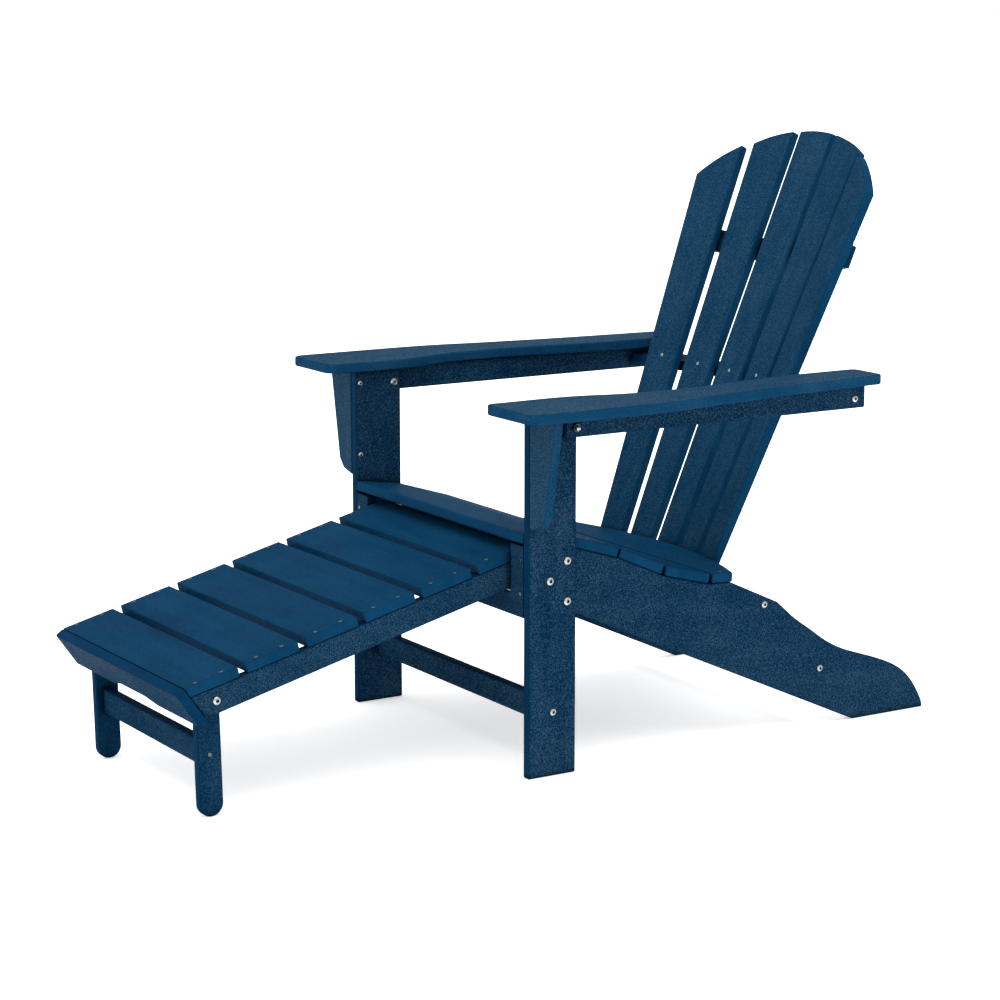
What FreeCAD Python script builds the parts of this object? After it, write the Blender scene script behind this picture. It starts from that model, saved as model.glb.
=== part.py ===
import FreeCAD, Part
import math
import os
import Sketcher

V = FreeCAD.Vector
doc = FreeCAD.newDocument("adirondack_chair")

# ---------------------------------------------------------------- driving dimensions, mm
# X runs across the chair (+X is the sitter's left), Y runs to the rear, Z is up, floor at Z = 0.
DRIVERS = [
    ("board", 16.5),            # thickness of every plank and strip
    ("plank", 89.0),            # width of a full plank
    ("strip", 41.0),            # width of a narrow strip
    ("edge_round", 3.0),        # rounding along every board edge
    ("leg_front", -121.8),      # front faces of the front legs
    ("leg_inside", 269.5),      # half the clear width between the front legs
    ("leg_tall", 588.0),
    ("seat_base", 260.0),       # lower edge of the apron and of the stringer fronts
    ("apron_top", 376.0),
    ("notch_half", 231.0),      # half width of the apron's opening for the footrest
    ("notch_floor", 296.0),
    ("rail_rear", 653.0),       # rear end of an arm rail, behind the leg fronts
    ("rest_half", 228.0),       # half width of the footrest
    ("rest_pitch", 105.2),      # spacing of the footrest slats
    ("rest_slat", 91.6),        # width of a footrest slat
    ("rest_length", 616.0),     # slatted length of the footrest
    ("rest_leg_wide", 40.0),
    ("spacer_thick", 15.2),
    ("bar_radius", 6.0),        # saddle bar the footrest rails slide on
    ("bar_gap", 0.3),           # clearance of the saddle bar in its groove
    ("bolt_radius", 4.0),
    ("screw_radius", 2.2),
    ("hole_gap", 0.1),          # radial clearance of every fastener hole
]
sheet = doc.addObject("Spreadsheet::Sheet", "Dims")
for row, (word, number) in enumerate(DRIVERS, 1):
    sheet.set("A%d" % row, word)
    sheet.set("B%d" % row, str(number))
    sheet.setAlias("B%d" % row, word)
doc.recompute()
D = dict(DRIVERS)
BOARD = D["board"]
STRIP = D["strip"]
PLANK = D["plank"]
INSIDE = D["leg_inside"]
OUTSIDE = INSIDE + BOARD
STRINGER_INSIDE = INSIDE - BOARD
FRONT = V(0, D["leg_front"], 0)

X_AXIS = V(1, 0, 0)
Y_AXIS = V(0, 1, 0)
Z_AXIS = V(0, 0, 1)

# ---------------------------------------------------------------- seat, back and footrest lines
# Front and rear top edges of the five seat slats, as (Y behind the leg fronts, Z).
SEAT_TOPS = [
    ((0.0, 396.5), (88.0, 384.0)),
    ((92.0, 382.0), (183.0, 354.0)),
    ((187.0, 352.5), (272.0, 315.0)),
    ((276.0, 313.0), (364.0, 289.7)),
    ((368.0, 289.5), (409.0, 287.7)),
]
SEAT_BULGE = 464.0 - 409.0      # how far the last slat's rear edge bulges back at the middle

BACK_FOOT = V(0, 463.7, 283.0)  # middle of the back where it meets the seat
BACK_LEAN = math.radians(24.1)
BACK_UP = V(0, math.sin(BACK_LEAN), math.cos(BACK_LEAN))
BACK_REAR = V(0, math.cos(BACK_LEAN), -math.sin(BACK_LEAN))
SLAT_SPACING = (71.74, 0.0429)  # spacing of the back slats at the seat, and its growth upwards
SLAT_HALF = (27.28, 0.0242)     # half width of a back slat at the seat, and its growth upwards
SLAT_FORWARD = (4.40, 0.00557)  # hollow of the back, times the square of the slat's number
SLAT_TURN = 6.41                # degrees each slat is turned inwards, per slat from the middle
SLAT_BOTTOM = -68.0
CROWN_TOP = 770.5               # height of the crown's middle up the back
CROWN_RADIUS = 315.3

REST_SLOPE = math.radians(14.3)
REST_ALONG = V(0, math.cos(REST_SLOPE), math.sin(REST_SLOPE))
REST_UP = V(0, -math.sin(REST_SLOPE), math.cos(REST_SLOPE))
REST_NOSE = V(0, -568.8, 215.1)  # front top edge of the first footrest slat
RAIL_DEPTH = BOARD + STRIP
BAR_CENTRE = V(0, BOARD / 2, 297.5)
PIVOT = V(0, -516.0, 190.0)
REST_FOOT = V(0, -512.0, D["rest_leg_wide"] / 2)
BOARD_TILT = math.radians(35.0)  # the footrest's front board leans back at the bottom
FRONT_BOARD_TALL = 66.0


# ---------------------------------------------------------------- helpers
def value(expression):
    return float(sheet.evalExpression(str(expression)))


def frame_at(origin, along, across):
    """Placement with local x along one direction, local y along another."""
    return FreeCAD.Placement(origin, FreeCAD.Rotation(along, across, along.cross(across), "XYZ"))


def side_frame(inner_face):
    """Local x to the rear, y up, z towards +X, with y = 0 at the floor."""
    return frame_at(FRONT + V(inner_face, 0, 0), Y_AXIS, Z_AXIS)


def front_frame(behind):
    """Local x across, y up, z forwards; the board's front face lies its thickness ahead of behind."""
    return frame_at(FRONT + V(0, behind, 0), X_AXIS, Z_AXIS)


def arc_middle(start, end, radius, side):
    """Middle point of an arc between two points, bulging to one side of the line joining them."""
    half = (end - start) * 0.5
    reach = math.sqrt(max(0.0, radius ** 2 - half.Length ** 2))
    normal = V(-half.y, half.x, 0).normalize()
    return start + half + normal * side * (radius - reach)


def draw(sketch, outline):
    """Closed outline from corners (x, y); a dict between two corners curves the edge joining them."""
    corners = [item for item in outline if not isinstance(item, dict)]
    curves = {}
    for index, item in enumerate(outline):
        if isinstance(item, dict):
            corner_index = len([i for i in outline[:index] if not isinstance(i, dict)]) - 1
            curves[corner_index] = item
    points = [V(value(x), value(y), 0) for x, y in corners]
    count = len(points)
    for i in range(count):
        start = points[i]
        end = points[(i + 1) % count]
        curve = curves.get(i)
        if curve is None:
            sketch.addGeometry(Part.LineSegment(start, end))
        elif "radius" in curve:
            middle = arc_middle(start, end, curve["radius"], curve["side"])
            sketch.addGeometry(Part.Arc(start, middle, end))
        else:
            spline = Part.BSplineCurve()
            spline.interpolate([start] + [V(x, y, 0) for x, y in curve["through"]] + [end])
            sketch.addGeometry(spline)
    if curves:
        return
    for i in range(count):
        sketch.addConstraint(Sketcher.Constraint("Coincident", i, 2, (i + 1) % count, 1))
    for i, (x, y) in enumerate(corners):
        across = sketch.addConstraint(Sketcher.Constraint("DistanceX", -1, 1, i, 1, points[i].x))
        sketch.setExpression("Constraints[%d]" % across, str(x))
        upward = sketch.addConstraint(Sketcher.Constraint("DistanceY", -1, 1, i, 1, points[i].y))
        sketch.setExpression("Constraints[%d]" % upward, str(y))


def board(name, outline, placement, thickness="Dims.board", rounding="Dims.edge_round", lean=None):
    """A board cut to an outline and padded to its thickness, every edge rounded over."""
    body = doc.addObject("PartDesign::Body", name + "_board")
    sketch = body.newObject("Sketcher::SketchObject", name + "_outline")
    plane = [item for item in body.Origin.OriginFeatures if item.Role == "XY_Plane"][0]
    sketch.AttachmentSupport = [(plane, "")]
    sketch.MapMode = "FlatFace"
    draw(sketch, outline)
    pad = body.newObject("PartDesign::Pad", name + "_pad")
    pad.Profile = sketch
    pad.setExpression("Length", thickness)
    if lean is not None:
        pad.UseCustomVector = True
        pad.Direction = lean
        pad.AlongSketchNormal = True
    body.Tip = pad
    if rounding:
        over = body.newObject("PartDesign::Fillet", name + "_round")
        over.Base = (pad, [""])
        over.UseAllEdges = True
        over.setExpression("Radius", rounding)
        body.Tip = over
    body.Placement = placement
    doc.recompute()
    return body


def rectangle(left, right, low, high):
    return [(left, low), (right, low), (right, high), (left, high)]


def mirrored(outline):
    """The same outline mirrored left to right."""
    flipped = []
    for item in reversed(outline):
        if isinstance(item, dict) and "through" in item:
            flipped.append({"through": [(-x, y) for x, y in reversed(item["through"])]})
        elif isinstance(item, dict):
            flipped.append(dict(item))
        else:
            flipped.append((-item[0], item[1]))
    return flipped


def rest_point(along, below, x=0.0):
    """Point on the footrest, measured back from its nose and down from its slat tops."""
    return REST_NOSE + REST_ALONG * along - REST_UP * below + V(x, 0, 0)


def back_point(x, up, rear):
    return BACK_FOOT + V(x, 0, 0) + BACK_UP * up + BACK_REAR * rear


boards = {}         # finished boards by node name
drills = {}         # fastener holes by node name
fasteners = {}      # fastener solids by node name
trimmed = {}        # boards cut to fit against others

# ---------------------------------------------------------------- front legs and stringers
seat_under = []
for front, rear in SEAT_TOPS:
    run = V(0, rear[0] - front[0], rear[1] - front[1])
    down = V(0, run.z, -run.y).normalize() * BOARD
    seat_under.append((V(0, front[0], front[1]) + down, run))


def under_crossing(first, second):
    """Where the undersides of two neighbouring seat slats meet."""
    (a, u), (b, w) = first, second
    step = ((b.y - a.y) * w.z - (b.z - a.z) * w.y) / (u.y * w.z - u.z * w.y)
    return (a.y + u.y * step, a.z + u.z * step)


def under_height(slat, y):
    start, run = seat_under[slat]
    return start.z + run.z * (y - start.y) / run.y


crossings = [under_crossing(seat_under[i], seat_under[i + 1]) for i in range(4)]
stringer_outline = [
    (BOARD, D["seat_base"]),
    (93.0, D["seat_base"]),
    (670.0, 0.0),
    (825.0, 0.0),
    {"through": [(822.5, 11), (814, 28), (798, 52), (775, 74), (746, 90.5), (699, 108), (653, 124),
                 (609.5, 145.4), (573, 171), (539.5, 194.6), (518, 213)]},
    (503.0, 226.0),
    (405.0, under_height(4, 405.0)),
] + list(reversed(crossings)) + [(BOARD, under_height(0, BOARD))]
leg_outline = rectangle("0", "Dims.plank", "0", "Dims.leg_tall")
for side, leg_face, stringer_face in (
        ("left", INSIDE, STRINGER_INSIDE), ("right", -OUTSIDE, -INSIDE)):
    boards["front_leg_" + side] = board("front_leg_" + side, leg_outline, side_frame(leg_face))
    boards["stringer_" + side] = board(
        "stringer_" + side, stringer_outline, side_frame(stringer_face), rounding="2")

# ---------------------------------------------------------------- apron and cross members
apron_outline = [
    ("-Dims.leg_inside", "Dims.seat_base"),
    ("Dims.leg_inside", "Dims.seat_base"),
    ("Dims.leg_inside", "Dims.apron_top"),
    ("Dims.notch_half", "Dims.apron_top"),
    ("Dims.notch_half", "Dims.notch_floor"),
    ("-Dims.notch_half", "Dims.notch_floor"),
    ("-Dims.notch_half", "Dims.apron_top"),
    ("-Dims.leg_inside", "Dims.apron_top"),
]
apron = board("front_apron", apron_outline, front_frame(BOARD), rounding="1.5")
groove = doc.addObject("Part::Cylinder", "apron_groove")
groove.setExpression("Radius", "Dims.bar_radius + Dims.bar_gap")
groove.setExpression("Height", "2 * Dims.notch_half - 2")
groove.Placement = FreeCAD.Placement(
    FRONT + BAR_CENTRE - V(D["notch_half"] - 1, 0, 0), FreeCAD.Rotation(Z_AXIS, X_AXIS))
grooved = doc.addObject("Part::Cut", "front_apron_grooved")
grooved.Base = apron
grooved.Tool = groove
boards["front_apron"] = grooved

stretcher_low = 84.5
across_legs = rectangle("-Dims.leg_inside", "Dims.leg_inside", stretcher_low,
                        "%s + Dims.strip" % stretcher_low)
boards["front_stretcher"] = board("front_stretcher", across_legs, front_frame(37.5 + BOARD))
rear_low = 79.5
across_stringers = rectangle("-(Dims.leg_inside - Dims.board)", "Dims.leg_inside - Dims.board",
                             rear_low, "%s + Dims.strip" % rear_low)
boards["rear_stretcher"] = board(
    "rear_stretcher", across_stringers, front_frame(596.0 + BOARD / 2))

# ---------------------------------------------------------------- back slats
def slat_axes(number):
    """Axes of a back slat: across it, up it and out of its front face."""
    up = BACK_UP + X_AXIS * SLAT_SPACING[1] * number - BACK_REAR * SLAT_FORWARD[1] * number ** 2
    up.normalize()
    turn = math.radians(SLAT_TURN * number)
    across = X_AXIS * math.cos(turn) - BACK_REAR * math.sin(turn)
    across = across - up * across.dot(up)
    across.normalize()
    return across, up, across.cross(up)


def slat_foot(number):
    forward = SLAT_FORWARD[0] * number ** 2
    return BACK_FOOT + X_AXIS * SLAT_SPACING[0] * number - BACK_REAR * forward


def half_width(up):
    return SLAT_HALF[0] + SLAT_HALF[1] * up


def crown_reach(number, side):
    """Length up a slat at which one of its sides, or its middle for side 0, meets the crown."""
    across, up, out = slat_axes(number)
    foot = slat_foot(number)
    low, high = 400.0, 800.0
    for _ in range(40):
        length = (low + high) / 2
        point = foot + up * length + across * side * half_width(length) - BACK_FOOT
        height = point.dot(BACK_UP) - (CROWN_TOP - CROWN_RADIUS)
        if math.hypot(point.x, height) < CROWN_RADIUS:
            low = length
        else:
            high = length
    return length


back_slats = []
for index in range(5):
    number = 2 - index
    across, up, out = slat_axes(number)
    left_top = crown_reach(number, 1)
    right_top = crown_reach(number, -1)
    outline = [
        (-half_width(SLAT_BOTTOM), SLAT_BOTTOM),
        (half_width(SLAT_BOTTOM), SLAT_BOTTOM),
        (half_width(left_top), left_top),
        {"radius": CROWN_RADIUS, "side": -1},
        (-half_width(right_top), right_top),
    ]
    name = "back_slat_%d" % (index + 1)
    boards[name] = board(
        name, outline, frame_at(FRONT + slat_foot(number) - out * BOARD, across, up))
    back_slats.append(boards[name])
slat_block = doc.addObject("Part::Compound", "back_slat_block")
slat_block.Links = back_slats


def fit_to_back(name, piece):
    """Trim a board where the back slats lie against it."""
    cut = doc.addObject("Part::Cut", name + "_fitted")
    cut.Base = piece
    cut.Tool = slat_block
    boards[name] = cut


# ---------------------------------------------------------------- seat slats
for index, (front, rear) in enumerate(SEAT_TOPS):
    run = V(0, rear[0] - front[0], rear[1] - front[1])
    wide = run.Length
    run.normalize()
    above = X_AXIS.cross(run)
    origin = FRONT + V(0, front[0], front[1]) - above * BOARD
    name = "seat_slat_%d" % (index + 1)
    if index < 4:
        outline = rectangle("-Dims.leg_inside", "Dims.leg_inside", 0, wide)
        boards[name] = board(name, outline, frame_at(origin, X_AXIS, run))
    else:
        bow = (INSIDE ** 2 + SEAT_BULGE ** 2) / (2 * SEAT_BULGE)
        outline = [(-INSIDE, 0), (INSIDE, 0), (INSIDE, wide), {"radius": bow, "side": -1},
                   (-INSIDE, wide)]
        fit_to_back(name, board(name, outline, frame_at(origin, X_AXIS, run)))

# ---------------------------------------------------------------- back braces
batten_low, batten_high = 530.0, 570.0
hollow = 4 * (SLAT_FORWARD[0] + SLAT_FORWARD[1] * 550)
reach = 2 * (SLAT_SPACING[0] + SLAT_SPACING[1] * 550)
batten_radius = (reach ** 2 + hollow ** 2) / (2 * hollow)
batten_half = 226.0


def batten_rear(x, radius):
    """Distance behind the back's front face of an arc about the back's hollow."""
    return math.sqrt(radius ** 2 - x ** 2) - batten_radius


near = batten_radius + BOARD + 0.2
far = near + BOARD
batten_outline = [
    (-batten_half, batten_rear(batten_half, near)),
    {"radius": near, "side": 1},
    (batten_half, batten_rear(batten_half, near)),
    (batten_half, batten_rear(batten_half, far)),
    {"radius": far, "side": -1},
    (-batten_half, batten_rear(batten_half, far)),
]
fit_to_back("back_batten_upper", board(
    "back_batten_upper", batten_outline,
    frame_at(FRONT + back_point(0, batten_low, 0), X_AXIS, BACK_REAR),
    thickness="%s" % (batten_high - batten_low)))

arm_brace_low = D["leg_tall"] - 2 * BOARD + 3.5
brace_bow = 603.6 - 580.0
brace_radius = (200.0 ** 2 + brace_bow ** 2) / (2 * brace_bow)
brace_outline = [
    (-OUTSIDE, 580.0), (-200.0, 580.0), {"radius": brace_radius, "side": 1}, (200.0, 580.0),
    (OUTSIDE, 580.0), (OUTSIDE, 650.0), (-OUTSIDE, 650.0),
]
fit_to_back("back_brace_arm", board(
    "back_brace_arm", brace_outline,
    FreeCAD.Placement(FRONT + V(0, 0, arm_brace_low), FreeCAD.Rotation()),
    rounding="2", lean=V(0, math.tan(BACK_LEAN), 1)))

lower_up = -48.0
lower_outline = [
    (-STRINGER_INSIDE, -8.0), (-175.0, -8.0), {"radius": 632.0, "side": 1}, (175.0, -8.0),
    (STRINGER_INSIDE, -8.0), (STRINGER_INSIDE, 57.5), (-STRINGER_INSIDE, 57.5),
]
fit_to_back("back_brace_lower", board(
    "back_brace_lower", lower_outline,
    frame_at(FRONT + back_point(0, lower_up - BOARD / 2, 0), X_AXIS, BACK_REAR), rounding="2"))

# ---------------------------------------------------------------- arms, arm rails and brackets
arm_outline = [
    (266.0, -61.0), (375.0, -61.0), {"radius": 24.0, "side": -1}, (390.0, -41.0),
    {"through": [(390, 60), (389, 150), (386, 208), (379.5, 252), (372, 290), (361, 362),
                 (350, 440), (341, 530), (335, 600)]},
    (331.0, 650.0), {"radius": 18.0, "side": -1}, (316.0, 671.0), (262.0, 671.0),
    {"radius": 14.0, "side": -1}, (250.0, 660.0),
    {"through": [(249.5, 600), (250, 550), (253, 495), (262, 425), (272, 360), (277.5, 300),
                 (277.5, 235), (270.5, 175), (257, 125), (250, 80), (249.5, 20)]},
    (250.0, -46.0), {"radius": 17.0, "side": -1},
]
rail_outline = rectangle(57, "Dims.rail_rear", "Dims.leg_tall - Dims.strip", "Dims.leg_tall")
bracket_outline = [(0.0, 404.0), (31.0, 412.0), (45.0, 428.0), (74.0, 588.0), (0.0, 588.0)]
for side, sign in (("left", 1), ("right", -1)):
    flat = FreeCAD.Placement(FRONT + V(0, 0, D["leg_tall"]), FreeCAD.Rotation())
    outline = arm_outline if sign > 0 else mirrored(arm_outline)
    boards["arm_" + side] = board("arm_" + side, outline, flat)
    rail_face = OUTSIDE if sign > 0 else -OUTSIDE - BOARD
    boards["arm_rail_" + side] = board("arm_rail_" + side, rail_outline, side_frame(rail_face))
    shape = bracket_outline if sign > 0 else mirrored(bracket_outline)
    place = front_frame(BOARD)
    place.Base = place.Base + V(sign * OUTSIDE, 0, 0)
    boards["arm_bracket_" + side] = board("arm_bracket_" + side, shape, place)

# ---------------------------------------------------------------- footrest
leg_out = D["rest_half"] - BOARD - D["spacer_thick"] - 0.3
leg_in = leg_out - BOARD + 0.3
leg_axis = PIVOT - REST_FOOT
leg_long = leg_axis.Length
leg_axis.normalize()
leg_across = V(0, leg_axis.z, -leg_axis.y)
half = D["rest_leg_wide"] / 2
board_down = V(0, math.sin(BOARD_TILT), -math.cos(BOARD_TILT))
board_back = V(0, math.cos(BOARD_TILT), math.sin(BOARD_TILT))
board_top = REST_NOSE - board_back * BOARD
back_low = REST_NOSE + board_down * FRONT_BOARD_TALL


def along_rest(point):
    offset = point - REST_NOSE
    return offset.dot(REST_ALONG), offset.dot(REST_UP)


def on_board_back(below):
    """Distance along the footrest of the front board's rear face at a depth below the slat tops."""
    end_along, end_up = along_rest(back_low)
    return end_along * below / -end_up


rest_rail_outline = [
    (on_board_back(BOARD), -BOARD),
    (on_board_back(BOARD + 36), -BOARD - 36),
    (on_board_back(BOARD + 36) + 18, -RAIL_DEPTH),
    (D["rest_length"], -RAIL_DEPTH),
    (D["rest_length"], -BOARD),
]
for side, face in (("left", D["rest_half"] - BOARD), ("right", -D["rest_half"])):
    boards["ottoman_rail_" + side] = board(
        "ottoman_rail_" + side, rest_rail_outline,
        frame_at(FRONT + REST_NOSE + V(face, 0, 0), REST_ALONG, REST_UP), rounding="2")
for index in range(6):
    name = "ottoman_slat_%d" % (index + 1)
    start = index * D["rest_pitch"]
    outline = rectangle("-Dims.rest_half", "Dims.rest_half", 0, "Dims.rest_slat")
    boards[name] = board(
        name, outline, frame_at(FRONT + rest_point(start, BOARD), X_AXIS, REST_ALONG),
        rounding="1.8")
mitre = doc.addObject("Part::Box", "first_slat_mitre")
mitre.setExpression("Length", "2 * Dims.rest_half + 2")
mitre.Width = 60
mitre.Height = 30
mitre.Placement = frame_at(
    FRONT + REST_NOSE + board_back * 0.4 + board_down * 40 - V(D["rest_half"] + 1, 0, 0),
    X_AXIS, board_down * -1)
mitred = doc.addObject("Part::Cut", "ottoman_slat_1_mitred")
mitred.Base = boards["ottoman_slat_1"]
mitred.Tool = mitre
boards["ottoman_slat_1"] = mitred

arch_half, arch_rise = 46.0, 9.0
tall = FRONT_BOARD_TALL
front_board_outline = [
    ("-Dims.rest_half - 0.5", -tall),
    (-arch_half - 34, -tall),
    {"through": [(-arch_half - 17, -tall + arch_rise / 2)]},
    (-arch_half, -tall + arch_rise),
    (arch_half, -tall + arch_rise),
    {"through": [(arch_half + 17, -tall + arch_rise / 2)]},
    (arch_half + 34, -tall),
    ("Dims.rest_half + 0.5", -tall),
    ("Dims.rest_half + 0.5", 0),
    ("-Dims.rest_half - 0.5", 0),
]
boards["ottoman_front_board"] = board(
    "ottoman_front_board", front_board_outline,
    frame_at(FRONT + REST_NOSE, X_AXIS, board_down * -1))
reliefs = []
for relief_face in (leg_in - 1.0, -leg_out - 1.0):
    relief = doc.addObject("Part::Box", "leg_relief")
    relief.Length = leg_out - leg_in + 2.0
    relief.Width = 30
    relief.Height = 60
    relief.Placement = frame_at(
        FRONT + PIVOT - leg_across * (half + 0.6) - leg_axis * 60 + V(relief_face, 0, 0),
        X_AXIS, leg_across)
    reliefs.append(relief)
relief_pair = doc.addObject("Part::Compound", "leg_reliefs")
relief_pair.Links = reliefs
relieved = doc.addObject("Part::Cut", "front_board_relieved")
relieved.Base = boards["ottoman_front_board"]
relieved.Tool = relief_pair
boards["ottoman_front_board"] = relieved
between_rails = rectangle("-(Dims.rest_half - Dims.board)", "Dims.rest_half - Dims.board",
                          -RAIL_DEPTH, -BOARD)
boards["ottoman_rear_bar"] = board(
    "ottoman_rear_bar", between_rails,
    frame_at(FRONT + REST_NOSE + REST_ALONG * D["rest_length"], X_AXIS, REST_UP))

# Saddle bar: a round bar with one flat, lying in the apron's groove under the footrest rails.
rail_bottom = rest_point(0, RAIL_DEPTH)
bar_flat = (rail_bottom - BAR_CENTRE).dot(REST_UP)
bar_round = doc.addObject("Part::Cylinder", "saddle_round")
bar_round.setExpression("Radius", "Dims.bar_radius")
bar_round.setExpression("Height", "2 * Dims.notch_half - 4")
bar_round.Placement = FreeCAD.Placement(
    FRONT + BAR_CENTRE - V(D["notch_half"] - 2, 0, 0), FreeCAD.Rotation(Z_AXIS, X_AXIS))
bar_top = doc.addObject("Part::Box", "saddle_flat")
bar_top.setExpression("Length", "2 * Dims.notch_half")
bar_top.Width = 20
bar_top.Height = 10
bar_top.Placement = frame_at(
    FRONT + BAR_CENTRE + REST_UP * (bar_flat - 0.02) - REST_ALONG * 10 - V(D["notch_half"], 0, 0),
    X_AXIS, REST_ALONG)
saddle = doc.addObject("Part::Cut", "ottoman_saddle_bar_cut")
saddle.Base = bar_round
saddle.Tool = bar_top
boards["ottoman_saddle_bar"] = saddle

# ---------------------------------------------------------------- footrest legs
rest_leg_outline = [
    (half, 0), (half, leg_long), {"radius": half, "side": -1}, (-half, leg_long), (-half, 0),
    {"radius": half, "side": -1},
]
for side, face in (("left", leg_in), ("right", -leg_out)):
    boards["ottoman_leg_" + side] = board(
        "ottoman_leg_" + side, rest_leg_outline,
        frame_at(FRONT + REST_FOOT + V(face, 0, 0), leg_across, leg_axis),
        thickness="Dims.board - 0.3")
    spacer_face = leg_out + 0.3 if side == "left" else -leg_out - 0.3 - D["spacer_thick"]
    ring = doc.addObject("Part::Cylinder", "spacer_ring_" + side)
    ring.Radius = 14
    ring.setExpression("Height", "Dims.spacer_thick")
    ring.Placement = FreeCAD.Placement(
        FRONT + PIVOT + V(spacer_face, 0, 0), FreeCAD.Rotation(Z_AXIS, X_AXIS))
    boards["ottoman_pivot_spacer_" + side] = ring
leg_bar_centre = REST_FOOT + leg_axis * (98.5 - REST_FOOT.z)
leg_bar_outline = rectangle(-leg_in, leg_in, -STRIP / 2, STRIP / 2)
boards["ottoman_leg_stretcher"] = board(
    "ottoman_leg_stretcher", leg_bar_outline,
    frame_at(FRONT + leg_bar_centre + leg_across * (BOARD / 2), X_AXIS, leg_axis))


# ---------------------------------------------------------------- fasteners
def fastener(centre, inward, shank, length, head, tall, nut=0.0, cap=0.0):
    """One fastener: a domed head with a hexagon socket, its shank, and a nut or a cap nut."""
    profile = [V(0, 0, -length), V(shank, 0, -length), V(shank, 0, 0), V(head, 0, 0),
               V(head, 0, tall * 0.35)]
    crown = Part.Arc(V(head, 0, tall * 0.35), V(head * 0.72, 0, tall * 0.85), V(0, 0, tall))
    edges = [Part.makeLine(profile[i], profile[i + 1]) for i in range(4)]
    edges.append(crown.toShape())
    edges.append(Part.makeLine(V(0, 0, tall), profile[0]))
    solid = Part.Face(Part.Wire(edges)).revolve(V(0, 0, 0), Z_AXIS, 360)
    solid = Part.Solid(solid.Shells[0]) if solid.ShapeType != "Solid" else solid
    across = head * 0.5
    ring = [V(across * math.cos(math.radians(a)), across * math.sin(math.radians(a)), tall * 0.12)
            for a in range(0, 361, 60)]
    socket = Part.Face(Part.makePolygon(ring)).extrude(V(0, 0, tall))
    solid = solid.cut(socket)
    if cap:
        solid = solid.fuse(Part.makeCylinder(cap, 5.0, V(0, 0, 1.0 - length)))
        solid = solid.fuse(Part.makeSphere(cap * 0.8, V(0, 0, -length)))
    if nut:
        ring = [V(nut * math.cos(math.radians(a)), nut * math.sin(math.radians(a)), -length + 2.0)
                for a in range(0, 361, 60)]
        solid = solid.fuse(Part.Face(Part.makePolygon(ring)).extrude(V(0, 0, 5.0)))
    solid = solid.removeSplitter()
    solid.Placement = FreeCAD.Placement(centre, FreeCAD.Rotation(Z_AXIS, inward * -1))
    return solid.Solids[0]


def drill(name, centre, inward, length, radius_words, lead):
    tool = doc.addObject("Part::Cylinder", "hole_in_" + name)
    tool.setExpression("Radius", radius_words + " + Dims.hole_gap")
    tool.Height = length + 2 * lead
    tool.Placement = FreeCAD.Placement(centre - inward * lead, FreeCAD.Rotation(Z_AXIS, inward))
    drills.setdefault(name, []).append(tool)


def fasten(group, at, inward, length, through, kind="screw"):
    """Add one fastener to a group and drill the boards it passes through."""
    centre = FRONT + at
    if kind == "bolt":
        solid = fastener(centre, inward, D["bolt_radius"], length, 6.3, 2.6, nut=7.0)
    elif kind == "cap":
        solid = fastener(centre, inward, D["bolt_radius"], length, 6.3, 2.0, cap=6.0)
    elif kind == "small":
        solid = fastener(centre, inward, D["screw_radius"], length, 2.9, 0.5)
    elif kind == "pan":
        solid = fastener(centre, inward, D["screw_radius"], length, 4.4, 1.4)
    elif kind == "dowel":
        solid = Part.makeCylinder(D["bolt_radius"], length, centre, inward)
    else:
        solid = fastener(centre, inward, D["screw_radius"], length, 5.5, 2.0)
    fasteners.setdefault(group, []).append(solid)
    words = "Dims.bolt_radius" if kind in ("bolt", "cap", "dowel") else "Dims.screw_radius"
    lead = 0.2 if kind == "dowel" else 1.0
    for name in through:
        drill(name, centre, inward, length, words, lead)


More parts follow.
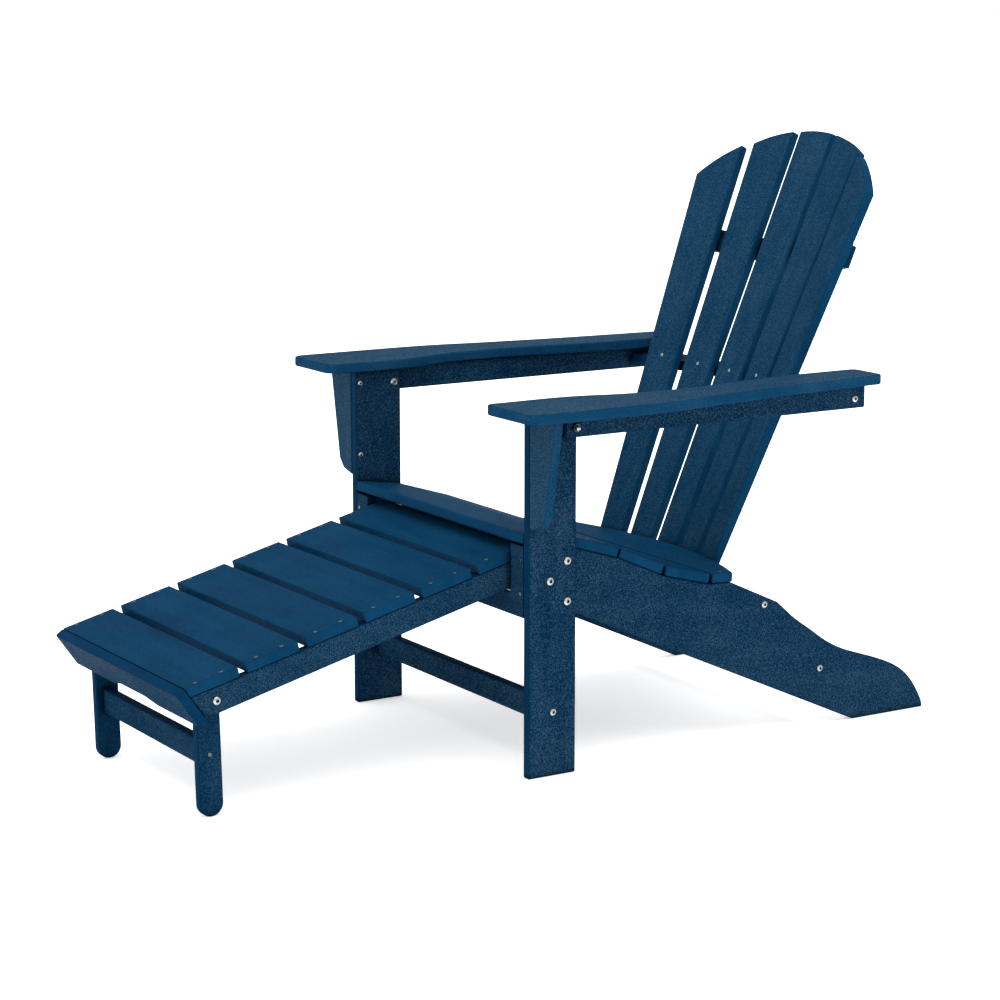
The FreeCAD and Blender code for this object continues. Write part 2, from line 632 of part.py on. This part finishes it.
for side, sign in (("left", 1), ("right", -1)):
    inward = V(-sign, 0, 0)
    outward = V(sign, 0, 0)
    leg = "front_leg_" + side
    stringer = "stringer_" + side
    rail = "arm_rail_" + side
    for y, z in ((72.0, 348.0), (39.5, 318.6), (72.0, 282.6)):
        fasten("leg_stringer_bolts", V(sign * OUTSIDE, y, z), inward, 2 * BOARD + 7.2,
               (leg, stringer), "bolt")
    fasten("front_stretcher_screws", V(sign * OUTSIDE, 45.8, 105.0), inward, 60,
           (leg, "front_stretcher"))
    fasten("arm_rail_bolts", V(sign * INSIDE, 75.5, 563.0), outward, 2 * BOARD + 6.0,
           (leg, rail), "cap")
    fasten("arm_brace_screws", V(sign * (OUTSIDE + BOARD), 631.0, 563.0), inward, 60,
           (rail, "back_brace_arm"))
    for z in (565.5, 441.0):
        fasten("bracket_screws", V(sign * INSIDE, 9.0, z), outward, 40,
               (leg, "arm_bracket_" + side), "pan")
    fasten("lower_brace_screws", V(sign * INSIDE, 475.5, 224.8), inward, 55,
           (stringer, "back_brace_lower"))
    fasten("rear_stretcher_screws", V(sign * INSIDE, 595.8, 99.6), inward, 55,
           (stringer, "rear_stretcher"))
    for z in (351.3, 298.5):
        fasten("apron_screws", V(sign * 260.5, 0, z), Y_AXIS, 45, ("front_apron", stringer),
               "small")
    for y in (150.0, 400.0):
        fasten("chair_dowels", V(sign * (OUTSIDE + BOARD / 2), y, D["leg_tall"] - 12), Z_AXIS, 22,
               (rail, "arm_" + side), "dowel")
    inside = D["rest_half"] - BOARD / 2
    for index in range(6):
        for step in (22.0, 67.0):
            fasten("ottoman_slat_screws",
                   rest_point(index * D["rest_pitch"] + step, 0, sign * inside), REST_UP * -1, 30,
                   ("ottoman_slat_%d" % (index + 1), "ottoman_rail_" + side), "small")
    fasten("ottoman_pivot_bolts", V(sign * D["rest_half"], PIVOT.y, PIVOT.z), inward,
           D["rest_half"] - leg_in + 7.6,
           ("ottoman_rail_" + side, "ottoman_pivot_spacer_" + side, "ottoman_leg_" + side), "bolt")
    fasten("ottoman_leg_screws", leg_bar_centre + V(sign * leg_out, 0, 0), inward, 50,
           ("ottoman_leg_" + side, "ottoman_leg_stretcher"), "small")
    fasten("ottoman_rear_bar_screws",
           rest_point(D["rest_length"] - BOARD / 2, BOARD + STRIP / 2, sign * D["rest_half"]),
           inward, 50, ("ottoman_rail_" + side, "ottoman_rear_bar"), "small")
    fasten("ottoman_front_board_dowels",
           board_top + board_down * 42 + board_back * 6 + V(sign * inside, 0, 0), board_back, 22,
           ("ottoman_front_board", "ottoman_rail_" + side), "dowel")
    for index in range(4):
        start, run = seat_under[index]
        down = V(0, run.z, -run.y).normalize()
        middle = start - down * 10 + run * 0.5 + V(sign * (INSIDE - BOARD / 2), 0, 0)
        fasten("chair_dowels", middle, down, 22,
               ("seat_slat_%d" % (index + 1), stringer), "dowel")
    start, run = seat_under[4]
    down = V(0, run.z, -run.y).normalize()
    fasten("seat_slat_screws", start + run * 0.56 - down * BOARD + V(sign * 258.0, 0, 0), down, 32,
           ("seat_slat_5", stringer), "small")

for number in range(-2, 3):
    slat = "back_slat_%d" % (3 - number)
    across, up, out = slat_axes(number)
    foot = slat_foot(number)
    for group, length, brace, deep in (
            ("back_lower_screws", lower_up, "back_brace_lower", 40),
            ("back_middle_screws", 321.5, "back_brace_arm", 36),
            ("back_upper_screws", (batten_low + batten_high) / 2, "back_batten_upper", 28)):
        if group == "back_upper_screws":
            # Driven from behind through the batten into the slat.
            start = foot + up * length - out * (BOARD + BOARD + 1.6)
            fasten(group, start, out, 26, (brace, slat), "small")
        else:
            fasten(group, foot + up * length, out * -1, deep, (slat, brace), "small")

# ---------------------------------------------------------------- drilling, checking and export
os.makedirs("parts", exist_ok=True)
nodes = []
for name, piece in boards.items():
    final = piece
    if name in drills:
        tools = doc.addObject("Part::Compound", name + "_holes")
        tools.Links = drills[name]
        final = doc.addObject("Part::Cut", name + "_drilled")
        final.Base = piece
        final.Tool = tools
    final.Label = name
    nodes.append(final)
for name, solids in fasteners.items():
    group = doc.addObject("Part::Feature", name + "_group")
    group.Shape = Part.makeCompound(solids)
    group.Label = name
    nodes.append(group)
doc.recompute()
for item in doc.Objects:
    if "Invalid" in item.State or "Error" in item.State:
        raise RuntimeError("%s: %s" % (item.Name, item.State))
for node in nodes:
    if node.Shape.isNull() or not node.Shape.isValid() or node.Shape.Volume < 1:
        raise RuntimeError("bad shape: " + node.Label)
    node.Shape.exportStep("parts/%s.step" % node.Label)
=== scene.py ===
import math

import bpy
import numpy as np
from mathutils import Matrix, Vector

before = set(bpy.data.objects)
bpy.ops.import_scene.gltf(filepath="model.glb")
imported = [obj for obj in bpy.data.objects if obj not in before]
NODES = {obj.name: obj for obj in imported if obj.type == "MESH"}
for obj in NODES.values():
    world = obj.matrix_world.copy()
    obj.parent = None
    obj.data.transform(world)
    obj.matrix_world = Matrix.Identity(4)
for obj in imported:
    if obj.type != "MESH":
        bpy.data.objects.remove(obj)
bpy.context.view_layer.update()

# ---------------------------------------------------------------- sizes and colours
# The camera stands off the chair's left front, in metres, with its angles in degrees.
CAMERA_PLACE = (3.8711, -2.4020, 1.2699)
CAMERA_TURN = 58.153
CAMERA_DOWN = 10.883
CAMERA_LENS = 100.03            # millimetres, on a sensor 36 mm wide

# Dark, middle and pale tones of the lumber. GLINT_SPECK_TONE is the tone of its raised specks,
# painted pale to stand in for glints of light off the pebbles.
GLINT_SPECK_TONE = (0.0420, 0.0860, 0.1280)
NAVY_TONES = ((0.0006, 0.0120, 0.0340), (0.0012, 0.0270, 0.0690), GLINT_SPECK_TONE)
BLUE_TONES = ((0.0016, 0.0230, 0.0580), (0.0034, 0.0400, 0.0950), GLINT_SPECK_TONE)
SMOOTH_TONES = ((0.0016, 0.0230, 0.0580), (0.0034, 0.0400, 0.0950), (0.0120, 0.0640, 0.1300))
TONE_PLACES = (0.10, 0.30, 0.68)

PEBBLE = 460.0                  # pebbles per metre of board
GRIT = 600.0                    # specks per metre of board, raised in the bump and painted pale as glints of light
FINE_GRAIN = 1500.0             # grains per metre of board
STREAK = 42.0                   # streaks per metre across a board
STREAK_LENGTHENING = 0.86       # how much longer the streaks run along a board, from 0 to 1
WARP = 0.0026                   # metres by which the pebbles are knocked out of line
LUMBER_GLOSS = 0.004
SEAM_SHADE_REACH = 0.012              # metres over which painted shade darkens the lumber's colour towards a seam
SOCKET_SHADE_REACH = 0.004            # metres over which painted shade darkens the steel's colour inside a socket

FLOOR_SIZE = 60.0
FLOOR_DROP = 0.0005             # keeps the floor clear of the feet that stand on it
FLOOR_PAINTED_GLOW = 0.50               # painted glow of the floor, which is no lamp, keeps the shadows on the floor faint
SUN_AIM = (-0.22, 0.12, -1.0)
SUN_SPREAD = 60.0               # degrees
SUN_STRENGTH = 2.2


# ---------------------------------------------------------------- node helpers
def new_material(name):
    """An empty node material with its output and its shader."""
    material = bpy.data.materials.new(name)
    material.use_nodes = True
    tree = material.node_tree
    tree.nodes.clear()
    out = tree.nodes.new("ShaderNodeOutputMaterial")
    shader = tree.nodes.new("ShaderNodeBsdfPrincipled")
    tree.links.new(shader.outputs["BSDF"], out.inputs["Surface"])
    return material, tree, shader


def add(tree, kind, **settings):
    """Add a node, and set its sockets or, where it has no such socket, its properties."""
    node = tree.nodes.new(kind)
    for key, setting in settings.items():
        if key in node.inputs:
            node.inputs[key].default_value = setting
        else:
            setattr(node, key, setting)
    return node


def scaled(tree, source, amounts):
    """Texture coordinates stretched by a different amount along each axis."""
    node = add(tree, "ShaderNodeMapping")
    node.inputs["Scale"].default_value = amounts
    tree.links.new(source, node.inputs["Vector"])
    return node.outputs["Vector"]


def noise(tree, vector, scale, detail=3.0, rough=0.5):
    node = add(tree, "ShaderNodeTexNoise", Scale=scale, Detail=detail, Roughness=rough)
    tree.links.new(vector, node.inputs["Vector"])
    return node.outputs["Fac"]


def ranged(tree, value, low, high, to_low, to_high):
    """A value carried from one range to another, and held at its ends."""
    node = add(tree, "ShaderNodeMapRange")
    for key, setting in (("From Min", low), ("From Max", high), ("To Min", to_low),
                         ("To Max", to_high)):
        node.inputs[key].default_value = setting
    tree.links.new(value, node.inputs["Value"])
    return node.outputs["Result"]


def maths(tree, operation, first, second):
    """A sum or product of two items, each a number or a socket."""
    node = add(tree, "ShaderNodeMath", operation=operation)
    for socket, item in zip(node.inputs, (first, second)):
        if isinstance(item, (int, float)):
            socket.default_value = item
        else:
            tree.links.new(item, socket)
    return node.outputs["Value"]


def weighted(tree, *pairs):
    """The sum of values, each times its weight."""
    total = None
    for value, weight in pairs:
        part = maths(tree, "MULTIPLY", value, weight)
        total = part if total is None else maths(tree, "ADD", total, part)
    return total


def ramp(tree, value, stops):
    """A colour read off a ramp with (place, colour) stops."""
    node = add(tree, "ShaderNodeValToRGB")
    points = node.color_ramp.elements
    while len(points) < len(stops):
        points.new(0.5)
    for point, (place, colour) in zip(points, stops):
        point.position = place
        point.color = (*colour, 1.0)
    tree.links.new(value, node.inputs["Fac"])
    return node.outputs["Color"]


def bumped(tree, shader, height, strength, distance):
    """Let a height raise the surface of a shader."""
    bump = add(tree, "ShaderNodeBump", Strength=strength, Distance=distance)
    tree.links.new(height, bump.inputs["Height"])
    tree.links.new(bump.outputs["Normal"], shader.inputs["Normal"])


# ---------------------------------------------------------------- plastic lumber
def facing(tree, normal, axis):
    """How squarely a face looks along an axis, from 0 to 1."""
    node = add(tree, "ShaderNodeVectorMath", operation="DOT_PRODUCT")
    tree.links.new(normal, node.inputs[0])
    node.inputs[1].default_value = axis
    size = add(tree, "ShaderNodeMath", operation="ABSOLUTE")
    tree.links.new(node.outputs["Value"], size.inputs[0])
    return size.outputs["Value"]


def pebbled(tree, place):
    """Height below the crests of rounded pebbles, which are knocked out of line."""
    pebble = add(tree, "ShaderNodeTexVoronoi", feature="SMOOTH_F1", Scale=PEBBLE, Smoothness=0.65)
    jitter = add(tree, "ShaderNodeTexNoise", Scale=210.0, Detail=1.0)
    warp = add(tree, "ShaderNodeVectorMath", operation="MULTIPLY_ADD")
    tree.links.new(place, jitter.inputs["Vector"])
    tree.links.new(jitter.outputs["Color"], warp.inputs[0])
    warp.inputs[1].default_value = (WARP, WARP, WARP)
    tree.links.new(place, warp.inputs[2])
    tree.links.new(warp.outputs["Vector"], pebble.inputs["Vector"])
    return pebble.outputs["Distance"]


def lumber(name, long_axis, thin_axis, glint_speck_amount, tones):
    """Navy plastic lumber: pebbled wide faces, plainer edges, faint streaks along the board, with
    shade painted into the colour at seams and pale specks painted as glints of light on the wide
    faces.
    """
    material, tree, shader = new_material(name)
    link = tree.links.new
    coords = add(tree, "ShaderNodeTexCoord")
    place = coords.outputs["Object"]
    stretch = [1.0 - STREAK_LENGTHENING * abs(part) for part in long_axis]
    streak = noise(tree, scaled(tree, place, stretch), STREAK, 4.0, 0.6)
    cloud = noise(tree, place, 9.0, 2.0)
    lumps = pebbled(tree, place)
    fine = noise(tree, place, FINE_GRAIN, 2.0)
    grit = noise(tree, place, GRIT, 2.5, 0.55)

    # The wide faces carry the whole texture and the edges a part of it; the pale specks are
    # painted glints of light off the pebbles, full on the wide faces and weaker on the edges.
    wide = facing(tree, coords.outputs["Normal"], thin_axis)
    face = ranged(tree, wide, 0.86, 0.97, 0.30, 1.0)
    # Painted highlight: pale specks in the base colour stand in for glints of light off the
    # pebble crests.
    painted_glint_speckle = maths(tree, "MULTIPLY", ranged(tree, grit, 0.38, 0.66, -0.35, 1.0), face)
    painted_glint_speckle = maths(tree, "MULTIPLY", painted_glint_speckle, glint_speck_amount)
    tone = weighted(tree, (streak, 0.26), (cloud, 0.20), (painted_glint_speckle, 0.34))
    colour = ramp(tree, tone, list(zip(TONE_PLACES, tones)))
    # Painted shade: an ambient-occlusion node darkens the lumber's base colour in seams and
    # between parts.
    painted_seam_shade = add(tree, "ShaderNodeAmbientOcclusion", Distance=SEAM_SHADE_REACH, samples=4)
    shade = add(tree, "ShaderNodeVectorMath", operation="SCALE")
    link(colour, shade.inputs[0])
    link(ranged(tree, painted_seam_shade.outputs["AO"], 0.45, 0.98, 0.18, 1.0), shade.inputs["Scale"])
    link(shade.outputs["Vector"], shader.inputs["Base Color"])
    rough = maths(tree, "ADD", ranged(tree, lumps, 0.1, 0.7, 0.42, 0.58),
                  ranged(tree, fine, 0.3, 0.7, -0.03, 0.03))
    link(rough, shader.inputs["Roughness"])
    shader.inputs["Specular IOR Level"].default_value = LUMBER_GLOSS

    crests = maths(tree, "SUBTRACT", 1.0, lumps)
    raised = maths(tree, "MULTIPLY", weighted(tree, (crests, 1.0), (grit, 1.4)), face)
    bumped(tree, shader, weighted(tree, (raised, 1.0), (fine, 0.12)), 1.0, 0.0016)
    return material


def board_axes(piece):
    """A board's long and thin directions: those in which its points spread most and least."""
    points = np.array([v.co for v in piece.data.vertices])
    spread = np.linalg.eigh(np.cov((points - points.mean(0)).T))[1]
    return [tuple(round(float(a), 3) for a in spread[:, column]) for column in (-1, 0)]


# ---------------------------------------------------------------- fasteners and bearings
def stainless(name, scale=1.0, bright=1.0):
    """Brushed stainless steel, with shade painted into its colour inside the sockets."""
    material, tree, shader = new_material(name)
    link = tree.links.new
    place = add(tree, "ShaderNodeTexCoord").outputs["Object"]
    smear = noise(tree, place, 260.0 * scale, 3.0)
    scratch = noise(tree, scaled(tree, place, (1.0, 0.15, 1.0)), 1900.0 * scale, 2.0)
    # Painted shade: an ambient-occlusion node darkens the steel's base colour inside the sockets.
    socket_shade_probe = add(tree, "ShaderNodeAmbientOcclusion", Distance=SOCKET_SHADE_REACH, samples=8)
    unshaded_by_socket = ranged(tree, socket_shade_probe.outputs["AO"], 0.55, 0.95, 0.0, 0.7)
    tone = maths(tree, "ADD", unshaded_by_socket, maths(tree, "MULTIPLY", smear, 0.45))
    shine = [0.50 * bright, 0.51 * bright, 0.51 * bright]
    link(ramp(tree, tone, [(0.25, (0.006, 0.006, 0.007)), (0.7, (0.13, 0.13, 0.125)),
                           (0.97, shine)]),
         shader.inputs["Base Color"])
    shader.inputs["Metallic"].default_value = 1.0
    link(ranged(tree, scratch, 0.3, 0.7, 0.26, 0.42), shader.inputs["Roughness"])
    bumped(tree, shader, scratch, 0.25, 0.0001)
    return material


def nylon(name):
    """Matte black nylon."""
    material, tree, shader = new_material(name)
    link = tree.links.new
    place = add(tree, "ShaderNodeTexCoord").outputs["Object"]
    cloud = noise(tree, place, 120.0, 3.0)
    fine = noise(tree, place, 1800.0, 2.0)
    link(ramp(tree, cloud, [(0.3, (0.010, 0.011, 0.013)), (0.7, (0.022, 0.023, 0.026))]),
         shader.inputs["Base Color"])
    link(ranged(tree, fine, 0.3, 0.7, 0.42, 0.55), shader.inputs["Roughness"])
    bumped(tree, shader, fine, 0.2, 0.0002)
    return material


STEEL = stainless("stainless_fastener")
BAR_STEEL = stainless("stainless_bar", 0.5)
DULL_STEEL = stainless("stainless_small", 1.6, 0.32)
NYLON = nylon("black_nylon")


def finish_of(name):
    """How strongly a board shows its painted glint specks, set by how the light falls on it, and
    its dark, middle and pale tones.
    """
    if name.startswith(("ottoman_slat", "seat_slat")):
        return 0.45, SMOOTH_TONES
    if name.startswith("arm_bracket"):
        return 2.2, BLUE_TONES
    if name in ("arm_left", "arm_right"):
        return 1.5, BLUE_TONES
    if name.startswith("back_slat"):
        return 1.0, BLUE_TONES
    if name.startswith("ottoman_leg"):
        return 0.75, NAVY_TONES
    return 1.1, NAVY_TONES


def material_of(name, piece):
    if name in ("ottoman_slat_screws", "ottoman_leg_screws", "apron_screws"):
        return DULL_STEEL
    if name.endswith(("_screws", "_bolts")):
        return STEEL
    if name == "ottoman_saddle_bar":
        return BAR_STEEL
    if "spacer" in name or name.endswith("_dowels"):
        return NYLON
    return lumber("lumber_" + name, *board_axes(piece), *finish_of(name))


for name, piece in sorted(NODES.items()):
    material = material_of(name, piece)
    piece.data.materials.clear()
    piece.data.materials.append(material)

# ---------------------------------------------------------------- floor, light and camera
bpy.ops.mesh.primitive_plane_add(size=FLOOR_SIZE, location=(0.0, 0.0, -FLOOR_DROP))
floor = bpy.context.object
floor.name = "floor"
floor_material, tree, shader = new_material("studio_floor")
floor_place = add(tree, "ShaderNodeTexCoord").outputs["Object"]
tree.links.new(ramp(tree, noise(tree, floor_place, 2.0),
                    [(0.3, (0.93, 0.93, 0.93)), (0.7, (0.95, 0.95, 0.95))]),
               shader.inputs["Base Color"])
shader.inputs["Roughness"].default_value = 0.9
shader.inputs["Specular IOR Level"].default_value = 0.1
# Painted light: the floor glows to lift its shadows and to light the chair from below.
shader.inputs["Emission Color"].default_value = (1.0, 1.0, 1.0, 1.0)
shader.inputs["Emission Strength"].default_value = FLOOR_PAINTED_GLOW
floor.data.materials.append(floor_material)

world = bpy.data.worlds.new("studio")
world.use_nodes = True
world.node_tree.nodes["Background"].inputs["Color"].default_value = (1.0, 1.0, 1.0, 1.0)
world.node_tree.nodes["Background"].inputs["Strength"].default_value = 1.0
bpy.context.scene.world = world
bpy.context.scene.view_settings.view_transform = "Standard"


def soft_sun(name, aim, spread, strength):
    """A wide sun, which lights the whole floor alike and leaves only faint soft shadows."""
    data = bpy.data.lights.new(name, "SUN")
    data.angle = math.radians(spread)
    data.energy = strength
    light = bpy.data.objects.new(name, data)
    bpy.context.scene.collection.objects.link(light)
    light.rotation_euler = Vector(aim).to_track_quat("-Z", "Y").to_euler()


soft_sun("key", SUN_AIM, SUN_SPREAD, SUN_STRENGTH)

camera_data = bpy.data.cameras.new("camera")
camera_data.lens = CAMERA_LENS
camera_data.sensor_width = 36.0
camera = bpy.data.objects.new("camera", camera_data)
bpy.context.scene.collection.objects.link(camera)
camera.location = CAMERA_PLACE
camera.rotation_euler = (math.radians(90.0 - CAMERA_DOWN), 0.0, math.radians(CAMERA_TURN))
bpy.context.scene.camera = camera
